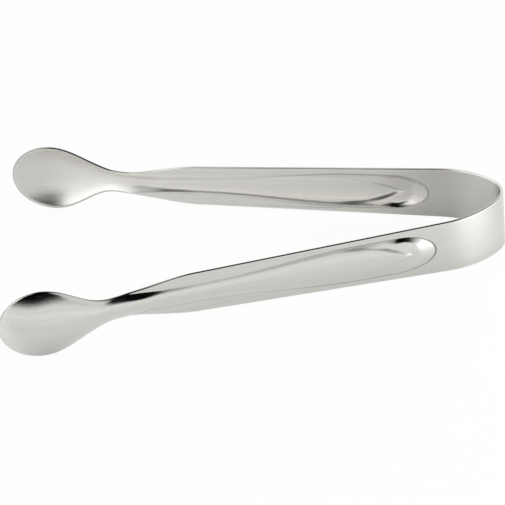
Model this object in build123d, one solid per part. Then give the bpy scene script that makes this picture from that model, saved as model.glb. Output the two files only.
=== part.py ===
from build123d import *
from math import cos, pi, radians, sin
import os

# Sugar tongs: one strip of stainless steel, blanked, pressed, bent into a bow and
# polished. Millimetres. The strip stands on edge, with the bow at +X, the spoon
# ends at -X, and the origin below the middle, level with the bowls' lower rims.

# The strip
overall_length = 114.3
steel_thickness = 0.7

# The bow: radii of the middle of the sheet, seen from above, and turns in degrees
nose_radius = 6.3
nose_turn = 39.0
shoulder_radius = 20.3
arm_splay = 10.7

# Widths of the blank, across the strip
bow_width = 13.9
arm_end_width = 10.5
neck_width = 5.6
bowl_width = 17.0

# Where those widths lie, along X from the tip of the bowl
bowl_centre_from_tip = 9.6
neck_from_tip = 25.2
arm_end_from_tip = 45.0

# The trough pressed outwards along each side: a bowl, a channel and a long rib
bowl_depth = 3.2
neck_depth = 0.9
rib_depth = 0.7
rib_start_width = 4.4
rib_end_width = 10.0
rib_start_from_tip = 40.0
rib_round_from_tip = 89.5
rib_round = 8.0

# The bowl is set outwards from the arm, by a step at the neck
bowl_step = 1.4
step_start_from_tip = 30.0
step_end_from_tip = 19.0

# Making: how far sheets run past their trimmed edges, and the grid of the press
trim_margin = 0.9
overrun = 5.0
grid_along = 1.5
grid_across = 0.9
surface_tolerance = 0.02

half_sheet = steel_thickness / 2
half_bow = bow_width / 2
half_arm_end = arm_end_width / 2
half_neck = neck_width / 2
half_bowl = bowl_width / 2
half_rib_start = rib_start_width / 2
half_rib_end = rib_end_width / 2
middle_x = overall_length / 2
arm_end_x = arm_end_from_tip - middle_x
splay = radians(arm_splay)


def fade(value, start, end):
    """Runs smoothly from 0 at start to 1 at end."""
    share = min(max((value - start) / (end - start), 0), 1)
    return (1 - cos(pi * share)) / 2


def half_width(from_tip):
    """Half the width of the blank, past the round tip of the bowl."""
    if from_tip < neck_from_tip:
        narrowing = fade(from_tip, bowl_centre_from_tip, neck_from_tip)
        return half_bowl + (half_neck - half_bowl) * narrowing
    if from_tip < arm_end_from_tip:
        widening = fade(from_tip, neck_from_tip, arm_end_from_tip)
        return half_neck + (half_arm_end - half_neck) * widening
    to_bow = (from_tip - arm_end_from_tip) / (overall_length - arm_end_from_tip)
    return half_arm_end + (half_bow - half_arm_end) * to_bow


def trough_half_width(from_tip):
    """Half the width of the trough: all of the bowl and neck, less of the arm."""
    if from_tip < neck_from_tip:
        return half_width(from_tip)
    if from_tip < rib_start_from_tip:
        leaving = fade(from_tip, neck_from_tip, rib_start_from_tip)
        return half_neck + (half_rib_start - half_neck) * leaving
    widening = fade(from_tip, rib_start_from_tip, rib_round_from_tip)
    return half_rib_start + (half_rib_end - half_rib_start) * widening


def trough_depth(from_tip):
    """How deep the trough is along its middle."""
    if from_tip < neck_from_tip:
        running_out = fade(from_tip, bowl_centre_from_tip, neck_from_tip)
        return bowl_depth + (neck_depth - bowl_depth) * running_out
    into_rib = fade(from_tip, neck_from_tip, rib_start_from_tip)
    return neck_depth + (rib_depth - neck_depth) * into_rib


def press(from_tip, height):
    """How far the sheet is pressed outwards from the plane of the arm."""
    before_centre = max(bowl_centre_from_tip - from_tip, 0) / bowl_centre_from_tip
    into_round = max(from_tip - rib_round_from_tip, 0) / rib_round
    across = height / trough_half_width(from_tip)
    inside = 1 - before_centre**2 - into_round**2 - across**2
    rib_part = fade(from_tip, bowl_centre_from_tip, neck_from_tip)
    profile = inside * (1 - rib_part) + max(inside, 0) ** 2 * rib_part
    step = bowl_step * (1 - fade(from_tip, step_end_from_tip, step_start_from_tip))
    return trough_depth(from_tip) * profile + step


# Seen from above, the sheet's middle is an arc round the nose, a wider arc along
# the shoulder and a straight arm. The front side is the mirror image of the rear.
nose_centre = Vector(middle_x - half_sheet - nose_radius, 0)
shoulder_start = Vector(cos(radians(nose_turn)), sin(radians(nose_turn)))
shoulder_centre = nose_centre + shoulder_start * (nose_radius - shoulder_radius)
arm_outwards = Vector(sin(splay), cos(splay))
arm_along = Vector(-cos(splay), sin(splay))
arm_start = shoulder_centre + arm_outwards * shoulder_radius


def blank():
    """The outline of the flat blank, as a cutter through both sides."""
    tip_length = bowl_centre_from_tip
    run = arm_end_from_tip - tip_length
    steps = int(run / grid_along)
    places = [tip_length + run * step / steps for step in range(steps + 1)]
    upper = [(place - middle_x, half_width(place)) for place in places]
    lower = [(x, -z) for x, z in upper]
    with BuildPart() as cutter:
        with BuildSketch(Plane.XZ):
            with BuildLine():
                centre = (tip_length - middle_x, 0)
                EllipticalCenterArc(centre, tip_length, half_bowl, 90, arc_size=180)
                Spline(upper)
                Spline(lower)
                Line(upper[-1], (middle_x, half_bow))
                Line((middle_x, half_bow), (middle_x, -half_bow))
                Line((middle_x, -half_bow), lower[-1])
            make_face()
        extrude(amount=overall_length, both=True)
    return cutter.part


def curved_band(centre, radius, start, turn):
    """A stretch of sheet bent round an upright axis, at full height."""
    with BuildPart() as band:
        with BuildSketch():
            with BuildLine():
                outer = CenterArc(centre, radius + half_sheet, start, turn)
                inner = CenterArc(centre, radius - half_sheet, start, turn)
                Line(outer @ 0, inner @ 0)
                Line(outer @ 1, inner @ 1)
            make_face()
        extrude(amount=half_bowl, both=True)
    return band.part


def pressed_sheet(start_from_tip, end_from_tip):
    """A stretch of the rear side between two places, wider than its outline."""
    start_along = (arm_start.X + middle_x - start_from_tip) / cos(splay)
    end_along = (arm_start.X + middle_x - end_from_tip) / cos(splay)
    steps_along = int(abs(start_along - end_along) / grid_along)
    steps_across = int(bowl_width / grid_across)
    rows = []
    for step in range(steps_along + 1):
        along = start_along + (end_along - start_along) * step / steps_along
        flat_place = arm_start + arm_along * along
        from_tip = flat_place.X + middle_x
        reach = half_width(from_tip) + trim_margin
        row = []
        for line in range(steps_across + 1):
            z = reach * (2 * line / steps_across - 1)
            place = flat_place + arm_outwards * (press(from_tip, z) - half_sheet)
            row.append(Vector(place.X, place.Y, z))
        rows.append(row)
    inner_face = Face.make_surface_from_array_of_points(rows, tol=surface_tolerance)
    return Solid.thicken(inner_face, steel_thickness, normal_override=arm_outwards)


outline = blank()
split = Plane(origin=(arm_end_x, 0, 0), z_dir=(1, 0, 0))
bow_outline = outline.split(split, keep=Keep.TOP)
bowl_outline = outline.split(split, keep=Keep.BOTTOM)

shoulder_turn = 90 - arm_splay - nose_turn
shoulder = curved_band(shoulder_centre, shoulder_radius, nose_turn, shoulder_turn)
arm = pressed_sheet(arm_end_from_tip - overrun, arm_start.X + middle_x)
bowl = pressed_sheet(-overrun, arm_end_from_tip + overrun)
rear_sections = {
    "shoulder": shoulder & bow_outline,
    "arm": arm & bow_outline,
    "bowl": bowl & bowl_outline,
}
nose = curved_band(nose_centre, nose_radius, -nose_turn, 2 * nose_turn)
sections = {"bow": nose & bow_outline}
for name, shape in rear_sections.items():
    sections["rear_" + name] = shape
    sections["front_" + name] = mirror(shape, about=Plane.XZ)

os.makedirs("parts", exist_ok=True)
for node, shape in sections.items():
    export_step(Pos(0, 0, half_bowl) * shape, f"parts/{node}.step")
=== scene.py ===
from math import cos, pi, radians, sin, sqrt

import bpy
from mathutils import Matrix, Vector


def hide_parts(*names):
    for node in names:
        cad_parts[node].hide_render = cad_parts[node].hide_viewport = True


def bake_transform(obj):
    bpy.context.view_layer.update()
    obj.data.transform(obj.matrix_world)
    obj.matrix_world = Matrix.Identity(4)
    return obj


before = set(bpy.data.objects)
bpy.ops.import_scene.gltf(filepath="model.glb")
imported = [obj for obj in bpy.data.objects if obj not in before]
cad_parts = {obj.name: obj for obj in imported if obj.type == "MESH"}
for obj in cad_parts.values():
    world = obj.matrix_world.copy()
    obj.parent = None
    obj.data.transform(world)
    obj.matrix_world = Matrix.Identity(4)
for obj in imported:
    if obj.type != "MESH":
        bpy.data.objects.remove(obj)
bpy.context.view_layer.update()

# The camera looks down on the near arm from in front, a little turned and rolled,
# with a long lens, as the outline of the tongs in the photograph shows.
camera_azimuth = radians(2.1)
camera_elevation = radians(34)
camera_roll = radians(-5.35)
camera_distance = 0.697
camera_target = Vector((-0.00086, 0, 0.00315))
lens_mm = 216.3
sensor_mm = 36

back = Vector((
    sin(camera_azimuth) * cos(camera_elevation),
    -cos(camera_azimuth) * cos(camera_elevation),
    sin(camera_elevation),
))
level_right = Vector((cos(camera_azimuth), sin(camera_azimuth), 0))
level_up = back.cross(level_right)
right = level_right * cos(camera_roll) + level_up * sin(camera_roll)
up = level_up * cos(camera_roll) - level_right * sin(camera_roll)
camera_data = bpy.data.cameras.new("camera")
camera_data.lens = lens_mm
camera_data.sensor_width = sensor_mm
camera_data.clip_start = 0.05
camera_data.clip_end = 50
camera = bpy.data.objects.new("camera", camera_data)
bpy.context.scene.collection.objects.link(camera)
camera.matrix_world = (
    Matrix.Translation(camera_target + back * camera_distance)
    @ Matrix((right, up, back)).transposed().to_4x4()
)
bpy.context.scene.camera = camera

# The strip: one blank of stainless steel sheet, pressed into a bowl, a channel and a
# rib at each end, bent round into a bow, then tumbled and polished so that its edges
# are round. It is one piece on the real tongs. Here it is cut at the top of the bow.
mm = 0.001
overall_length = 114.3
steel_thickness = 0.7
middle_x = overall_length / 2
half_sheet = steel_thickness / 2


def fade(value, start, end):
    """Runs smoothly from 0 at start to 1 at end."""
    share = min(max((value - start) / (end - start), 0), 1)
    return (1 - cos(pi * share)) / 2


def softly(value, start, end):
    """Like fade, but without a sudden change of curvature at either end."""
    share = min(max((value - start) / (end - start), 0), 1)
    return share**3 * (share * (share * 6 - 15) + 10)


def mix(start, end, share):
    return start + (end - start) * share


def staged(from_tip, values):
    """A value that runs smoothly through those given at places along the strip."""
    places = list(values)
    result = values[places[0]]
    for before, after in zip(places, places[1:]):
        result += (values[after] - values[before]) * softly(from_tip, before, after)
    return result


# Its bend, seen from above: a tight nose at the top of the bow, a wider shoulder on
# each side and a straight arm. It is bent cold round a former and springs back a
# little, so that each bend runs into the next.
nose_radius = 6.3
nose_turn = radians(39)
shoulder_radius = 20.3
arm_splay = radians(10.7)
bend_blending = 1.6
blending_samples = 12

nose_centre = Vector((middle_x - half_sheet - nose_radius, 0))
shoulder_start = Vector((cos(nose_turn), sin(nose_turn)))
shoulder_centre = nose_centre + shoulder_start * (nose_radius - shoulder_radius)
arm_outwards = Vector((sin(arm_splay), cos(arm_splay)))
arm_along = Vector((-cos(arm_splay), sin(arm_splay)))
arm_start = shoulder_centre + arm_outwards * shoulder_radius
nose_length = nose_radius * nose_turn
shoulder_length = shoulder_radius * (pi / 2 - arm_splay - nose_turn)
arm_length = (arm_start.x + middle_x) / cos(arm_splay)
side_length = nose_length + shoulder_length + arm_length


def bent(distance):
    """Where the middle of the sheet is, seen from above, that far from the bow's top."""
    if distance < 0:
        place = bent(-distance)
        return Vector((place.x, -place.y))
    if distance < nose_length:
        angle = distance / nose_radius
        return nose_centre + Vector((cos(angle), sin(angle))) * nose_radius
    if distance < nose_length + shoulder_length:
        angle = nose_turn + (distance - nose_length) / shoulder_radius
        return shoulder_centre + Vector((cos(angle), sin(angle))) * shoulder_radius
    return arm_start + arm_along * (distance - nose_length - shoulder_length)


def eased(distance):
    """The same place, with the changes of bend run into each other."""
    total = Vector((0, 0))
    weights = 0
    for sample in range(-blending_samples, blending_samples + 1):
        share = sample / (blending_samples + 1)
        weight = (1 + cos(pi * share)) / 2
        total += bent(distance + share * bend_blending) * weight
        weights += weight
    return total / weights


# Its blank: widest at the bowl, narrow at the neck, and tapering from the bow to the
# end of the arm. The bowl's end is an oval, polished back a little from its cut rim.
bow_width = 13.9
arm_end_width = 10.5
neck_width = 5.6
bowl_width = 17.0
bowl_centre_from_tip = 9.6
neck_from_tip = 25.2
arm_end_from_tip = 45.0
rim_inset = 0.07
bowl_reach = bowl_width / 2 - rim_inset


def half_width(from_tip):
    """Half the width of the blank, past the round tip of the bowl."""
    if from_tip < neck_from_tip:
        narrowing = fade(from_tip, bowl_centre_from_tip, neck_from_tip)
        return mix(bowl_reach, neck_width / 2, narrowing)
    if from_tip < arm_end_from_tip:
        widening = fade(from_tip, neck_from_tip, arm_end_from_tip)
        return mix(neck_width / 2, arm_end_width / 2, widening)
    to_bow = (from_tip - arm_end_from_tip) / (overall_length - arm_end_from_tip)
    return mix(arm_end_width / 2, bow_width / 2, to_bow)


# Its rib: pressed outwards along the arm, from a channel at the neck to a round end
# near the bow, with a pointed hollow in that end. Slopes, curves, rises and depths are
# given at places along the strip, in millimetres from the tip. A crown's curve is how
# steeply it falls where it meets the foot.
rib_start_half = 2.2
rib_end_half = 4.55
rib_narrow_from_tip = 38.0
rib_widens_from_tip = 44.0
rib_wide_from_tip = 81.0
rib_round_from_tip = 89.5
rib_round = 8.3
side_slopes = {30: 0.78, 40: 0.6, 88: 0.6, 91: 0.88}
end_slope = 0.6
crown_curves = {30: 0.78, 38: 0.56, 46: 0.48, 82: 0.48, 90: 0.36}
crown_rises = {28: 0.29, 40: 0.12, 85: 0.12, 91: 0.45}
crease = 0.08

point_start_from_tip = 74.0
point_length = 17.7
point_half_start = 3.35
point_roundness = 2.5
point_centre = -0.55
point_wall = 0.56
point_depths = {point_start_from_tip: 0, 82: 0.1125, 89: 0.45}


def larger(first, second, softness):
    """The larger of two values, with a round corner where they are equal."""
    return (first + second + sqrt((first - second) ** 2 + softness**2)) / 2


def smaller(first, second, softness):
    """The smaller of two values, with a round corner where they are equal."""
    return (first + second - sqrt((first - second) ** 2 + softness**2)) / 2


def trough_half_width(from_tip):
    """Half the width of the channel and the rib, at the foot of their flanks."""
    narrowing = fade(from_tip, neck_from_tip, rib_narrow_from_tip)
    widening = fade(from_tip, rib_widens_from_tip, rib_wide_from_tip)
    narrowed = mix(neck_width / 2, rib_start_half, narrowing)
    return narrowed + (rib_end_half - rib_start_half) * widening


def inside_foot(from_tip, height):
    """How far inside the rib's foot a place is, negative on the flat round it."""
    half = trough_half_width(from_tip)
    into_round = max(from_tip - rib_round_from_tip, 0) / rib_round
    return half * (1 - sqrt((height / half) ** 2 + into_round**2))


def inside_point(from_tip, height):
    """How far inside the pointed hollow in the rib's end a place is."""
    into_point = max(from_tip - point_start_from_tip, 0) / point_length
    half = point_half_start * (1 - into_point**point_roundness)
    return half - sqrt((height - point_centre) ** 2 + crease**2)


def rib(from_tip, height):
    """How far the rib stands out: flanks up from its foot, and a crown over them."""
    half = trough_half_width(from_tip)
    into_round = max(from_tip - rib_round_from_tip, 0) / rib_round
    across = height / half
    endwards = into_round**2 / (into_round**2 + across**2 + crease**2)
    slope = mix(staged(from_tip, side_slopes), end_slope, endwards)
    curve = staged(from_tip, crown_curves)
    crown = staged(from_tip, crown_rises) + curve * half / 2 * (1 - across**2)

    # The hollow's wall is less steep where the crown itself slopes more, so that the
    # line round the hollow is equally sharp all along.
    inside = inside_point(from_tip, height)
    line_height = min(inside + abs(height - point_centre) - point_centre, half)
    wall = max(point_wall - curve * line_height / half, crease)
    deep = staged(from_tip, point_depths)
    crown += smaller(deep, larger(wall * inside + deep / 2, 0, crease / 2), crease / 2)

    raised = smaller(slope * inside_foot(from_tip, height), crown, crease * 1.5)
    return larger(raised, 0, crease)


# Its bowl: pressed outwards as a shallow oval dish, which runs out into the channel at
# the neck. A step at the neck sets the whole bowl outwards from the arm.
bowl_depth = 3.2
neck_depth = 1.3
bowl_step = 1.4
step_start_from_tip = 31.0
step_end_from_tip = 18.0
dish_ends_from_tip = neck_from_tip - 5
rib_begins_from_tip = neck_from_tip + 7


def step_out(from_tip):
    return bowl_step * (1 - softly(from_tip, step_end_from_tip, step_start_from_tip))


def press(from_tip, height):
    """How far the sheet is pressed outwards from the plane of the arm."""
    before_centre = max(bowl_centre_from_tip - from_tip, 0) / bowl_centre_from_tip
    into_neck = fade(from_tip, bowl_centre_from_tip, neck_from_tip)
    across = height / half_width(from_tip)
    bowl = mix(bowl_depth, neck_depth, into_neck) * (1 - before_centre**2 - across**2)
    out_of_bowl = softly(from_tip, dish_ends_from_tip, rib_begins_from_tip)
    if out_of_bowl == 0:
        return bowl + step_out(from_tip)
    return mix(bowl, rib(from_tip, height), out_of_bowl) + step_out(from_tip)


# Its mesh: rows run across the strip and columns along it. Both are closer together
# where the press bends the sheet sharply, and round the polished edge. Each run of
# rows is given by where it ends, in millimetres from the tip, and its pitch.
row_runs = ((99.0, 0.5), (86.0, 0.15), (24.0, 0.33), (9.7, 0.25), (0.4, 0.25))
first_row = 0.03
trough_columns = 26
crease_columns = 6
flange_columns = 8
edge_columns = 6
crease_reach = 0.2
edge_round = 0.34
bowl_foot_share = 0.7
foot_leaves_bowl_from_tip = neck_from_tip - 4
foot_reaches_rib_from_tip = neck_from_tip + 3

step_shift = bowl_step * sin(arm_splay)
cap_length = (bowl_centre_from_tip - rim_inset) / cos(arm_splay)
cap_start = side_length - (bowl_centre_from_tip - step_shift) / cos(arm_splay)
direction_step = 0.01
map_unit = 100

# Painted shade lies as dark lines in the creases at the rib's foot and round the hollow. The second
# one fades in between two places, and both are as strong along the strip as given here.
point_line_starts_from_tip = 76
point_line_whole_from_tip = 84
line_strengths = {30: 0, 42: 0.4, 56: 0.4, 76: 1}


def rounded_places(count):
    """Distances in from the rim, even round the quarter circle of its edge."""
    return [edge_round * (1 - cos(pi / 2 * step / count)) for step in range(count)]


def evenly(start, end, count):
    return [start + (end - start) * step / count for step in range(count)]


def column_heights(from_tip, reach):
    """Heights of the columns on the upper half, close together at the rib's foot. In
    the bowl, which has no foot, they are closest at a share of its reach."""
    foot = min(trough_half_width(from_tip), reach - edge_round - 2 * crease_reach)
    on_arm = fade(from_tip, foot_leaves_bowl_from_tip, foot_reaches_rib_from_tip)
    foot = mix(reach * bowl_foot_share, foot, on_arm)
    heights = evenly(0, foot - crease_reach, trough_columns)
    heights += evenly(foot - crease_reach, foot + crease_reach, crease_columns)
    heights += evenly(foot + crease_reach, reach - edge_round, flange_columns)
    return heights + [reach - place for place in reversed(rounded_places(edge_columns))] + [reach]


def row_places():
    """Distances of the rows from the top of the bow to the tip of the bowl."""
    places = [first_row]
    for from_tip, pitch in row_runs:
        run_end = side_length - from_tip / cos(arm_splay)
        count = max(round((run_end - places[-1]) / pitch), 1)
        places = places[:-1] + evenly(places[-1], run_end, count) + [run_end]
    tip = cap_start + cap_length
    places = [place for place in places if place < tip - edge_round]
    return places + [tip - place for place in reversed(rounded_places(edge_columns))] + [tip]


def formed(distance, side, column):
    """A point of the blank, its place on the flat sheet, its thickness share, creases
    and distance from the rim."""
    level = 1 if column >= 0 else -1
    into_cap = max(distance - cap_start, 0) / cap_length
    if into_cap > 0:
        share = column_heights(bowl_centre_from_tip, bowl_reach)[abs(column)] / bowl_reach * level
        along_cap = into_cap * sqrt(1 - share**2 / 2)
        share = share * sqrt(1 - into_cap**2 / 2)
        distance = cap_start + cap_length * along_cap
        height = share * bowl_reach
        radius = sqrt(along_cap**2 + share**2)
        span = sqrt((along_cap * cap_length) ** 2 + height**2) / radius
        from_rim = (1 - radius) * span
    place = eased(distance)
    ahead = eased(distance + direction_step) - eased(distance - direction_step)
    outwards = Vector((ahead.y, -ahead.x)).normalized()
    from_tip = place.x + middle_x
    if into_cap == 0:
        reach = half_width(from_tip + step_out(from_tip) * sin(arm_splay))
        height = column_heights(from_tip, reach)[abs(column)] * level
        from_rim = reach - abs(height)
    inward = edge_round - min(max(from_rim, 0), edge_round)
    lost = edge_round - sqrt(edge_round**2 - inward**2)
    place = place + outwards * press(from_tip, height * side)
    point = Vector((place.x, side * place.y, height + bowl_width / 2)) * mm
    foot_line = inside_foot(from_tip, height * side)
    point_line = inside_point(from_tip, height * side)
    not_begun = 1 - fade(from_tip, point_line_starts_from_tip, point_line_whole_from_tip)
    lines = (foot_line, point_line + not_begun, staged(from_tip, line_strengths))
    flat = (distance * side / map_unit, height / map_unit)
    return point, flat, 1 - lost / half_sheet, lines, from_rim


rows = row_places()
columns = trough_columns + crease_columns + flange_columns + edge_columns
bpy.ops.object.select_all(action="DESELECT")
bpy.ops.mesh.primitive_grid_add(
    x_subdivisions=2 * len(rows), y_subdivisions=2 * columns, size=1, location=(0, 0, 0),
)
strip = bpy.context.object
strip.name = "strip"
strip_uv = strip.data.uv_layers.active.name
thickness = strip.vertex_groups.new(name="sheet_thickness")
strip.data.attributes.new("press_creases", "FLOAT_VECTOR", "POINT")
strip.data.attributes.new("from_rim", "FLOAT", "POINT")
crease_values = []
rim_values = []
spread = {}
for vertex in strip.data.vertices:
    row = round(vertex.co.x * 2 * len(rows))
    column = round(vertex.co.y * 2 * columns)
    distance = rows[abs(row) - 1] if row else 0
    side = 1 if row >= 0 else -1
    vertex.co, spread[vertex.index], share, lines, from_rim = formed(distance, side, column)
    thickness.add([vertex.index], share, "REPLACE")
    crease_values.extend(lines)
    rim_values.append(from_rim)
strip.data.attributes["press_creases"].data.foreach_set("vector", crease_values)
strip.data.attributes["from_rim"].data.foreach_set("value", rim_values)
for loop in strip.data.loops:
    strip.data.uv_layers[strip_uv].data[loop.index].uv = spread[loop.vertex_index]

# Its finish: polished, with faint streaks and fine lines along the strip, and shallow
# pits. Painted shade lies as dark lines in the creases and along the bowl's rim. The inner
# face is a little duller, most of all in the bowl, where no wheel reaches, and painted shade
# darkens it inside the bow.
streak_stretch = (4, 160, 1)
line_stretch = (30, 900, 1)
pit_scale = 260
streak_range = (0.3, 0.7)
streak_relief = 0.0000025
pit_relief = 0.000014
line_relief = 0.000002

# Widths and places of the painted shade: across the creases and in from the rim in
# millimetres, and along the strip from the bow's top in units of the strip's map.
foot_line_width = 0.22
point_line_width = 0.16
rim_line_start = 0.02
inside_bow_fades = (0.22, 0.34)
bowl_has_strengths = (0, 0.35)
# The colour of the painted shade in the creases, along the rim and inside the bow.
painted_shade_colour = (0.12, 0.12, 0.11, 1)
edge_polish_fades = (0.28, 0.5)
edge_roughness = 0.1
finishes = {
    "polished_steel_outside": {
        "darker": (0.775, 0.762, 0.727, 1), "lighter": (0.82, 0.808, 0.77, 1),
        "glossiest": 0.08, "dullest": 0.14, "bowl_dulling": 0,
        "foot_line": 0.95, "point_line": 0.15, "inside_bow": 0,
        "rim_line": 0.85, "rim_line_end": 0.32,
    },
    "polished_steel_inside": {
        "darker": (0.825, 0.811, 0.775, 1), "lighter": (0.87, 0.856, 0.818, 1),
        "glossiest": 0.12, "dullest": 0.17, "bowl_dulling": 0.17,
        "foot_line": 0.6, "point_line": 0.35, "inside_bow": 0.17,
        "rim_line": 0.5, "rim_line_end": 0.2,
    },
}


def node(tree, kind, inputs=(), **settings):
    """Adds a node. An input that is given another node's output is linked to it."""
    made = tree.nodes.new(kind)
    for name, value in settings.items():
        setattr(made, name, value)
    for socket, value in dict(inputs).items():
        if isinstance(value, bpy.types.NodeSocket):
            tree.links.new(value, made.inputs[socket])
        else:
            made.inputs[socket].default_value = value
    return made


def maths(tree, operation, *values):
    made = node(tree, "ShaderNodeMath", enumerate(values), operation=operation)
    return made.outputs["Value"]


def ramp(tree, value, places, results, **settings):
    """Runs from the first result to the second as the value crosses the two places."""
    inputs = {
        "Value": value, "From Min": places[0], "From Max": places[1],
        "To Min": results[0], "To Max": results[1],
    }
    return node(tree, "ShaderNodeMapRange", inputs, **settings).outputs["Result"]


def noise(tree, places, scale, detail, roughness):
    """An uneven pattern, the same on every run."""
    inputs = {"Vector": places, "Scale": scale, "Detail": detail, "Roughness": roughness}
    return node(tree, "ShaderNodeTexNoise", inputs).outputs["Fac"]


def stretched(tree, places, stretch):
    """The strip's map, finer across the strip than along it."""
    made = node(tree, "ShaderNodeMapping", {"Vector": places, "Scale": stretch})
    return made.outputs["Vector"]


def tinted(tree, share, colour, other):
    """A colour, with a share of the other one over it."""
    inputs = {"Factor": share, "A": colour, "B": other}
    return node(tree, "ShaderNodeMix", inputs, data_type="RGBA").outputs["Result"]


for name, finish in finishes.items():
    steel = bpy.data.materials.new(name)
    strip.data.materials.append(steel)
    steel.use_nodes = True
    tree = steel.node_tree
    shader = tree.nodes["Principled BSDF"]
    shader.inputs["Metallic"].default_value = 1

    flat = node(tree, "ShaderNodeUVMap", uv_map=strip_uv).outputs["UV"]
    along_streaks = stretched(tree, flat, streak_stretch)
    along_lines = stretched(tree, flat, line_stretch)
    streaks = noise(tree, along_streaks, scale=1, detail=3, roughness=0.55)
    fine_lines = noise(tree, along_lines, scale=1, detail=4, roughness=0.6)
    pits = noise(tree, flat, scale=pit_scale, detail=4, roughness=0.65)
    pressed = node(tree, "ShaderNodeAttribute", attribute_name="press_creases")
    creases = node(tree, "ShaderNodeSeparateXYZ", {"Vector": pressed.outputs["Vector"]})
    strength = creases.outputs["Z"]
    from_rim = node(tree, "ShaderNodeAttribute", attribute_name="from_rim").outputs["Fac"]

    tone = ramp(tree, streaks, streak_range, (0, 1))
    colour = tinted(tree, tone, finish["darker"], finish["lighter"])
    # Painted shade: dark lines in the creases at the rib's foot and round the hollow.
    from_foot = maths(tree, "ABSOLUTE", creases.outputs["X"])
    foot_line = ramp(tree, from_foot, (0, foot_line_width), (finish["foot_line"], 0))
    from_point = maths(tree, "ABSOLUTE", creases.outputs["Y"])
    point_line = ramp(tree, from_point, (0, point_line_width), (finish["point_line"], 0))
    painted_shade = maths(tree, "MULTIPLY", maths(tree, "MAXIMUM", foot_line, point_line), strength)
    on_strip = node(tree, "ShaderNodeSeparateXYZ", {"Vector": flat})
    # Painted shade inside the bow: the inner face is darker near the bow's top and fades out along
    # the strip.
    from_bow_top = maths(tree, "ABSOLUTE", on_strip.outputs["X"])
    inside_bow = ramp(tree, from_bow_top, inside_bow_fades, (finish["inside_bow"], 0))
    painted_shade = maths(tree, "MAXIMUM", painted_shade, inside_bow)
    colour = tinted(tree, painted_shade, colour, painted_shade_colour)
    # Painted shade: a dark line along the bowl's rim, fading in from the edge.
    rim_places = (rim_line_start, finish["rim_line_end"])
    rim_line = ramp(tree, from_rim, rim_places, (finish["rim_line"], 0))
    on_bowl = ramp(tree, strength, bowl_has_strengths, (1, 0))
    rim_painted_shade = maths(tree, "MULTIPLY", rim_line, on_bowl)
    colour = tinted(tree, rim_painted_shade, colour, painted_shade_colour)
    tree.links.new(colour, shader.inputs["Base Color"])

    dullness = ramp(tree, streaks, streak_range, (finish["glossiest"], finish["dullest"]))
    bowl_dulling = ramp(tree, strength, bowl_has_strengths, (finish["bowl_dulling"], 0))
    dullness = maths(tree, "ADD", dullness, bowl_dulling)
    dullness = ramp(tree, from_rim, edge_polish_fades, (edge_roughness, dullness))
    tree.links.new(dullness, shader.inputs["Roughness"])

    normal = None
    for pattern, depth in ((streaks, streak_relief), (pits, pit_relief), (fine_lines, line_relief)):
        inputs = {"Height": pattern, "Strength": 1, "Distance": depth}
        if normal:
            inputs["Normal"] = normal
        normal = node(tree, "ShaderNodeBump", inputs).outputs["Normal"]
    tree.links.new(normal, shader.inputs["Normal"])

sheet = strip.modifiers.new("sheet", "SOLIDIFY")
sheet.thickness = steel_thickness * mm
sheet.offset = 0
sheet.use_even_offset = True
sheet.vertex_group = thickness.name
sheet.material_offset = 1
bpy.ops.object.modifier_apply(modifier=sheet.name)
bpy.ops.object.mode_set(mode="EDIT")
bpy.ops.mesh.select_all(action="SELECT")
bpy.ops.mesh.normals_make_consistent(inside=False)
bpy.ops.object.mode_set(mode="OBJECT")

# The strip is cut in two at the top of the bow, one half for each side.
sharp_edge = radians(42)
halves = {"front": -1, "rear": 1}
for side, sign in halves.items():
    half = strip.copy()
    half.data = strip.data.copy()
    half.name = side + "_half_strip"
    bpy.context.scene.collection.objects.link(half)
    bpy.ops.object.select_all(action="DESELECT")
    half.select_set(True)
    bpy.context.view_layer.objects.active = half
    bpy.ops.object.mode_set(mode="EDIT")
    bpy.ops.mesh.select_all(action="SELECT")
    bpy.ops.mesh.bisect(
        plane_co=(0, 0, 0), plane_no=(0, sign, 0), use_fill=True, clear_inner=True,
        threshold=0.000001,
    )
    bpy.ops.object.mode_set(mode="OBJECT")
    bpy.ops.object.shade_smooth_by_angle(angle=sharp_edge)
    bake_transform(half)
    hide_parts("bow", side + "_shoulder", side + "_arm", side + "_bowl")
bpy.data.objects.remove(strip)

# The floor: a plain pale table top. The tongs lie on the lower rims of both bowls and
# on the lower edge of the bow, so it slopes by under a degree to meet all three.
bow_rest_height = (bowl_width - bow_width) / 2 * mm
floor_slope = bow_rest_height / ((overall_length - bowl_centre_from_tip) * mm)
floor_reach = 12
floor_gap = 0.00005
bowl_rest_x = (bowl_centre_from_tip - middle_x) * mm
floor_colour = (0.88, 0.88, 0.88, 1)
whiteness_to_camera = 0.94
whiteness_in_steel = 0.02
white = (1, 1, 1, 1)

bpy.ops.object.select_all(action="DESELECT")
bpy.ops.mesh.primitive_plane_add(size=2 * floor_reach, location=(0, 0, 0))
floor = bpy.context.object
floor.name = "floor"
for vertex in floor.data.vertices:
    vertex.co.z = (vertex.co.x - bowl_rest_x) * floor_slope - floor_gap
pale = bpy.data.materials.new("pale_table_top")
pale.use_nodes = True
tree = pale.node_tree
shader = tree.nodes["Principled BSDF"]
shader.inputs["Base Color"].default_value = floor_colour
shader.inputs["Roughness"].default_value = 0.3
shader.inputs["Coat Weight"].default_value = 0.5
shader.inputs["Coat Roughness"].default_value = 0.2
ray = node(tree, "ShaderNodeLightPath").outputs
seen = maths(tree, "MAXIMUM", ray["Is Camera Ray"], ray["Is Transmission Ray"])
seen = maths(tree, "MULTIPLY", seen, whiteness_to_camera)
mirrored = maths(tree, "MULTIPLY", ray["Is Glossy Ray"], whiteness_in_steel)
share = maths(tree, "MAXIMUM", seen, mirrored)
glow = node(tree, "ShaderNodeEmission", {"Color": white, "Strength": 1})
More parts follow.
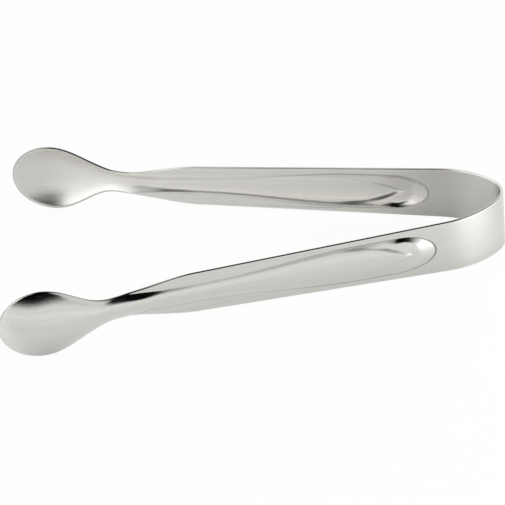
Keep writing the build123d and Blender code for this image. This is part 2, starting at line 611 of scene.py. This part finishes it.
surfaces = {0: share, 1: shader.outputs["BSDF"], 2: glow.outputs["Emission"]}
surface = node(tree, "ShaderNodeMixShader", surfaces).outputs["Shader"]
tree.links.new(surface, tree.nodes["Material Output"].inputs["Surface"])
floor.data.materials.append(pale)

# The room is white all round. The eye and the steel see it as plain white, and the
# light that it throws on the table is a little weaker.
room_light = 0.79
world = bpy.data.worlds.new("white_room")
bpy.context.scene.world = world
world.use_nodes = True
tree = world.node_tree
background = tree.nodes["Background"]
background.inputs["Color"].default_value = white
ray = node(tree, "ShaderNodeLightPath").outputs
seen = maths(tree, "MAXIMUM", ray["Is Camera Ray"], ray["Is Glossy Ray"])
seen = maths(tree, "MAXIMUM", seen, ray["Is Transmission Ray"])
level = ramp(tree, seen, (0, 1), (room_light, 1))
tree.links.new(level, background.inputs["Strength"])

# The lamps: one broad soft lamp low at the right, and two narrow spots on the table
# beside the bow, whose light the bow mirrors. The steel doesn't mirror the lamps.
soft_lamp_size = (0.3, 0.2)
spot_place = (0.3, -0.12, 0.45)
spot_softness = 0.005
spots = {
    "bow_spot": {"watts": 3.4, "cone": 4.2, "target": (0.066, -0.019, 0)},
    "table_spot": {"watts": 8, "cone": 11, "target": (0.1, -0.05, 0)},
}


def lamp(name, kind, watts, place, target):
    """A lamp, hung at a place and aimed at a target."""
    light = bpy.data.lights.new(name, kind)
    light.energy = watts
    hung = bpy.data.objects.new(name, light)
    bpy.context.scene.collection.objects.link(hung)
    hung.location = place
    hung.rotation_euler = (Vector(target) - hung.location).to_track_quat("-Z", "Y").to_euler()
    hung.visible_glossy = False
    return light


soft_lamp = lamp("soft_lamp", "AREA", watts=2.3, place=(0.55, -0.3, 0.25), target=(0, 0, 0))
soft_lamp.shape = "RECTANGLE"
soft_lamp.size, soft_lamp.size_y = soft_lamp_size
for name, aim in spots.items():
    spot = lamp(name, "SPOT", aim["watts"], spot_place, aim["target"])
    spot.spot_size = radians(aim["cone"])
    spot.spot_blend = 1
    spot.shadow_soft_size = spot_softness

# The cards that the steel mirrors, as is usual for metalware: dark screens in front,
# overhead and at the right, and soft boxes close by at the right and at the left. Each
# is part of a ball round the tongs, with a soft border.
card_steps = 32

# Distances are in metres and angles in degrees. A card's strength fades upwards, from
# the first to the second between two heights. These are the heights at its right side,
# and at its left side they are lower by the slant.
cards = {
    "front_screen": {
        "distance": 1.8, "strengths": (0.8, 0), "fade": (18, 33), "slant": 7,
        "sides": (-42, 56), "heights": (-2, 126), "border": 8,
    },
    "right_screen": {
        "distance": 1.75, "strengths": (0.75, 0), "fade": (36, 44), "slant": -16,
        "sides": (42, 156), "heights": (8, 100), "border": 8,
    },
    "low_right_box": {
        "distance": 0.3, "strengths": (1.5, 1.5), "fade": (0, 1), "slant": 0,
        "sides": (42, 100), "heights": (-2, 20), "border": 6,
    },
    "left_soft_box": {
        "distance": 1.7, "strengths": (1, 1.45), "fade": (12, 25), "slant": 0,
        "sides": (-120, -43), "heights": (-2, 60), "border": 8,
    },
}
for name, values in cards.items():
    left, right_end = values["sides"]
    low, high = values["heights"]
    slant = values["slant"]
    bpy.ops.object.select_all(action="DESELECT")
    bpy.ops.mesh.primitive_grid_add(
        x_subdivisions=card_steps, y_subdivisions=card_steps, size=1, location=(0, 0, 0),
    )
    card = bpy.context.object
    card.name = name
    for vertex in card.data.vertices:
        across = radians(mix(left, right_end, vertex.co.x + 0.5))
        raised = radians(mix(low, high, vertex.co.y + 0.5))
        direction = Vector((sin(across) * cos(raised), -cos(across) * cos(raised), sin(raised)))
        vertex.co = direction * values["distance"]

    screen = bpy.data.materials.new(name)
    screen.use_nodes = True
    tree = screen.node_tree
    card_map = node(tree, "ShaderNodeUVMap", uv_map=card.data.uv_layers.active.name)
    places = node(tree, "ShaderNodeSeparateXYZ", {"Vector": card_map.outputs["UV"]}).outputs
    slanted = maths(tree, "MULTIPLY_ADD", places["X"], -slant / (high - low), places["Y"])
    fade_places = [(height - slant - low) / (high - low) for height in values["fade"]]
    smooth = {"interpolation_type": "SMOOTHSTEP"}
    strength = ramp(tree, slanted, fade_places, values["strengths"], **smooth)
    glow = node(tree, "ShaderNodeEmission", {"Color": white, "Strength": strength})
    softened = []
    for axis, reach in (("X", right_end - left), ("Y", high - low)):
        to_far_side = maths(tree, "SUBTRACT", 1, places[axis])
        nearest = maths(tree, "MINIMUM", places[axis], to_far_side)
        softened.append(ramp(tree, nearest, (0, values["border"] / reach), (0, 1), **smooth))
    cover = maths(tree, "MULTIPLY", *softened)
    clear = node(tree, "ShaderNodeBsdfTransparent")
    surfaces = {0: cover, 1: clear.outputs["BSDF"], 2: glow.outputs["Emission"]}
    surface = node(tree, "ShaderNodeMixShader", surfaces).outputs["Shader"]
    tree.links.new(surface, tree.nodes["Material Output"].inputs["Surface"])
    card.data.materials.append(screen)
    card.visible_camera = False
    card.visible_shadow = False
    card.visible_diffuse = False

scene = bpy.context.scene
scene.view_settings.view_transform = "Standard"
